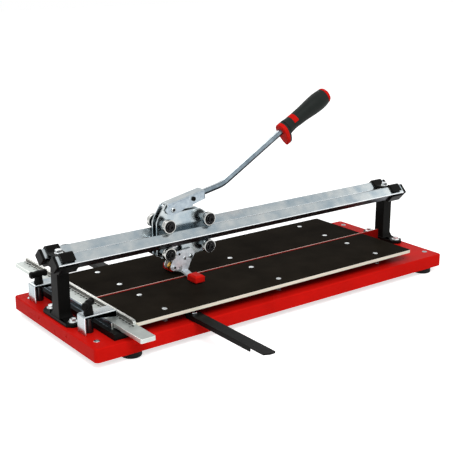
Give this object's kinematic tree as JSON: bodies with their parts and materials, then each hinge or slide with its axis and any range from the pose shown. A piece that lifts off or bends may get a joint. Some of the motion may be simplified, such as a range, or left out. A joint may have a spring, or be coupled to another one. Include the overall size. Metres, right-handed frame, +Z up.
{
  "type": "manual tile cutter",
  "caption": "Manual rail tile cutter: sheet tray, sprung tables, twin diamond rails and a rolling carriage whose lever works a scoring wheel and a breaker foot.",
  "frame": {"origin": "centre of the bounding box in plan, at the bottom of the rubber feet", "axes": "+X along the cut towards the grip end, +Y towards the side where the ruler stands out further, +Z up"},
  "size_m": [1.0126, 0.848, 0.465],
  "materials": {
    "red_powder_coat": "semi-gloss powder coat",
    "black_powder_coat": "satin powder coat",
    "foot_rubber": "matt moulded",
    "spring_steel": "bright wire",
    "table_board": "board with a dark film face and pale sealed edges",
    "black_plastic": "fine grain",
    "zinc_plated_steel": "bright zinc plate",
    "polished_steel": "ground and polished",
    "ruler_aluminium": "satin anodised",
    "red_plastic": "semi-gloss moulded",
    "coated_carbide": "gold coloured hard coating, ground edge",
    "turned_steel": "turned"
  },
  "bodies": {
    "frame": {"base_tray": "red_powder_coat", "breaking_ridge": "red_powder_coat", "clamp_bolt_left": "zinc_plated_steel", "clamp_bolt_right": "zinc_plated_steel", "column_left": "black_powder_coat", "column_right": "black_powder_coat", "foot_front_left": "foot_rubber", "foot_front_right": "foot_rubber", "foot_rear_left": "foot_rubber", "foot_rear_right": "foot_rubber", "rail_cap_front_left": "black_plastic", "rail_cap_front_right": "black_plastic", "rail_cap_rear_left": "black_plastic", "rail_cap_rear_right": "black_plastic", "rail_clamp_left": "black_powder_coat", "rail_clamp_right": "black_powder_coat", "rail_front": "zinc_plated_steel", "rail_rear": "zinc_plated_steel", "ruler_clamp_front": "zinc_plated_steel", "ruler_clamp_rear": "zinc_plated_steel", "ruler_guide": "black_powder_coat", "table_spring_front_left_inner": "spring_steel", "table_spring_front_left_outer": "spring_steel", "table_spring_front_right_inner": "spring_steel", "table_spring_front_right_outer": "spring_steel", "table_spring_rear_left_inner": "spring_steel", "table_spring_rear_left_outer": "spring_steel", "table_spring_rear_right_inner": "spring_steel", "table_spring_rear_right_outer": "spring_steel"},
    "front_table": {"table_front": "table_board"},
    "rear_table": {"table_rear": "table_board"},
    "carriage": {"carriage_plate_front": "zinc_plated_steel", "carriage_plate_rear": "zinc_plated_steel", "carriage_block": "turned_steel", "handle_pivot": "turned_steel", "arm_pivot": "turned_steel"},
    "handle": {"handle_bracket": "zinc_plated_steel", "handle_rod": "zinc_plated_steel", "rod_bolt": "black_powder_coat", "grip_core": "red_plastic", "grip_sleeve": "black_plastic"},
    "push_link": {"push_link": "turned_steel"},
    "scoring_arm": {"scoring_arm": "zinc_plated_steel"},
    "scoring_wheel": {"scoring_wheel": "coated_carbide"},
    "breaker": {"breaker_bar": "zinc_plated_steel", "breaker_pad_front": "red_plastic", "breaker_pad_rear": "red_plastic"},
    "ruler": {"ruler": "ruler_aluminium"},
    "knob_front": {"ruler_knob_front": "black_plastic"},
    "knob_rear": {"ruler_knob_rear": "black_plastic"},
    "support_arm_front": {"support_arm_front": "black_powder_coat"},
    "support_arm_rear": {"support_arm_rear": "black_powder_coat"},
    "roller_front_lower_left": {"roller_front_lower_left": "polished_steel"},
    "roller_front_lower_right": {"roller_front_lower_right": "polished_steel"},
    "roller_front_upper_left": {"roller_front_upper_left": "polished_steel"},
    "roller_front_upper_right": {"roller_front_upper_right": "polished_steel"},
    "roller_rear_lower_left": {"roller_rear_lower_left": "polished_steel"},
    "roller_rear_lower_right": {"roller_rear_lower_right": "polished_steel"},
    "roller_rear_upper_left": {"roller_rear_upper_left": "polished_steel"},
    "roller_rear_upper_right": {"roller_rear_upper_right": "polished_steel"}
  },
  "joints": [
    {"name": "carriage_slide", "type": "slide", "parent": "frame", "child": "carriage", "axis": [1, 0, 0], "range_m": [-0.2, 0.545]},
    {"name": "roller_front_lower_left_spin", "type": "hinge", "parent": "carriage", "child": "roller_front_lower_left", "pos_m": [-0.2235, -0.03118, 0.14466], "axis": [0, 1, 0], "continuous": true},
    {"name": "roller_front_lower_right_spin", "type": "hinge", "parent": "carriage", "child": "roller_front_lower_right", "pos_m": [-0.1165, -0.03118, 0.14466], "axis": [0, 1, 0], "continuous": true},
    {"name": "roller_front_upper_left_spin", "type": "hinge", "parent": "carriage", "child": "roller_front_upper_left", "pos_m": [-0.2235, -0.03118, 0.20914], "axis": [0, 1, 0], "continuous": true},
    {"name": "roller_front_upper_right_spin", "type": "hinge", "parent": "carriage", "child": "roller_front_upper_right", "pos_m": [-0.1165, -0.03118, 0.20914], "axis": [0, 1, 0], "continuous": true},
    {"name": "roller_rear_lower_left_spin", "type": "hinge", "parent": "carriage", "child": "roller_rear_lower_left", "pos_m": [-0.2235, 0.03118, 0.14466], "axis": [0, 1, 0], "continuous": true},
    {"name": "roller_rear_lower_right_spin", "type": "hinge", "parent": "carriage", "child": "roller_rear_lower_right", "pos_m": [-0.1165, 0.03118, 0.14466], "axis": [0, 1, 0], "continuous": true},
    {"name": "roller_rear_upper_left_spin", "type": "hinge", "parent": "carriage", "child": "roller_rear_upper_left", "pos_m": [-0.2235, 0.03118, 0.20914], "axis": [0, 1, 0], "continuous": true},
    {"name": "roller_rear_upper_right_spin", "type": "hinge", "parent": "carriage", "child": "roller_rear_upper_right", "pos_m": [-0.1165, 0.03118, 0.20914], "axis": [0, 1, 0], "continuous": true},
    {"name": "handle_lift", "type": "hinge", "parent": "carriage", "child": "handle", "pos_m": [-0.2, 0, 0.23914], "axis": [0, -1, 0], "range_deg": [0, 55]},
    {"name": "scoring_arm_swing", "type": "hinge", "parent": "carriage", "child": "scoring_arm", "pos_m": [-0.1553, 0, 0.1231], "axis": [0, -1, 0], "range_deg": [0, 24.2]},
    {"name": "push_link_swing", "type": "hinge", "parent": "handle", "child": "push_link", "pos_m": [-0.21464, 0, 0.24447], "axis": [0, -1, 0], "range_deg": [-57, 0]},
    {"name": "scoring_wheel_spin", "type": "hinge", "parent": "scoring_arm", "child": "scoring_wheel", "pos_m": [-0.2, 0, 0.105], "axis": [0, 1, 0], "continuous": true},
    {"name": "breaker_lift", "type": "slide", "parent": "carriage", "child": "breaker", "axis": [0, 0, 1], "range_m": [0, 0.005]},
    {"name": "front_table_press", "type": "slide", "parent": "frame", "child": "front_table", "axis": [0, 0, -1], "range_m": [0, 0.003], "stiffness_N_per_m": 8000, "springref_m": -0.004, "deforming": ["table_spring_front_left_inner", "table_spring_front_left_outer", "table_spring_front_right_inner", "table_spring_front_right_outer"]},
    {"name": "rear_table_press", "type": "slide", "parent": "frame", "child": "rear_table", "axis": [0, 0, -1], "range_m": [0, 0.003], "stiffness_N_per_m": 8000, "springref_m": -0.004, "deforming": ["table_spring_rear_left_inner", "table_spring_rear_left_outer", "table_spring_rear_right_inner", "table_spring_rear_right_outer"]},
    {"name": "ruler_slide", "type": "slide", "parent": "frame", "child": "ruler", "axis": [0, 1, 0], "range_m": [-0.06, 0.06]},
    {"name": "knob_front_turn", "type": "hinge", "parent": "frame", "child": "knob_front", "pos_m": [-0.466, -0.1, 0.095], "axis": [0, 0, 1], "range_deg": [-90, 90]},
    {"name": "knob_rear_turn", "type": "hinge", "parent": "frame", "child": "knob_rear", "pos_m": [-0.466, 0.126, 0.095], "axis": [0, 0, 1], "range_deg": [-90, 90]},
    {"name": "support_arm_front_swing", "type": "hinge", "parent": "frame", "child": "support_arm_front", "pos_m": [-0.254, -0.168, 0.056], "axis": [0, 0, 1], "range_deg": [0, 90]},
    {"name": "support_arm_rear_swing", "type": "hinge", "parent": "frame", "child": "support_arm_rear", "pos_m": [-0.254, 0.168, 0.056], "axis": [0, 0, -1], "range_deg": [0, 90]}
  ],
  "couplings": [
    {"joint": "roller_front_lower_left_spin", "follows": "carriage_slide", "rad_per_m": -68.027},
    {"joint": "roller_front_lower_right_spin", "follows": "carriage_slide", "rad_per_m": -68.027},
    {"joint": "roller_front_upper_left_spin", "follows": "carriage_slide", "rad_per_m": 68.027},
    {"joint": "roller_front_upper_right_spin", "follows": "carriage_slide", "rad_per_m": 68.027},
    {"joint": "roller_rear_lower_left_spin", "follows": "carriage_slide", "rad_per_m": -68.027},
    {"joint": "roller_rear_lower_right_spin", "follows": "carriage_slide", "rad_per_m": -68.027},
    {"joint": "roller_rear_upper_left_spin", "follows": "carriage_slide", "rad_per_m": 68.027},
    {"joint": "roller_rear_upper_right_spin", "follows": "carriage_slide", "rad_per_m": 68.027},
    {"joint": "scoring_arm_swing", "follows": "handle_lift", "ratio": 0.43636},
    {"joint": "push_link_swing", "follows": "handle_lift", "ratio": -1.028},
    {"joint": "breaker_lift", "follows": "handle_lift", "m_per_rad": 0.005157}
  ]
}
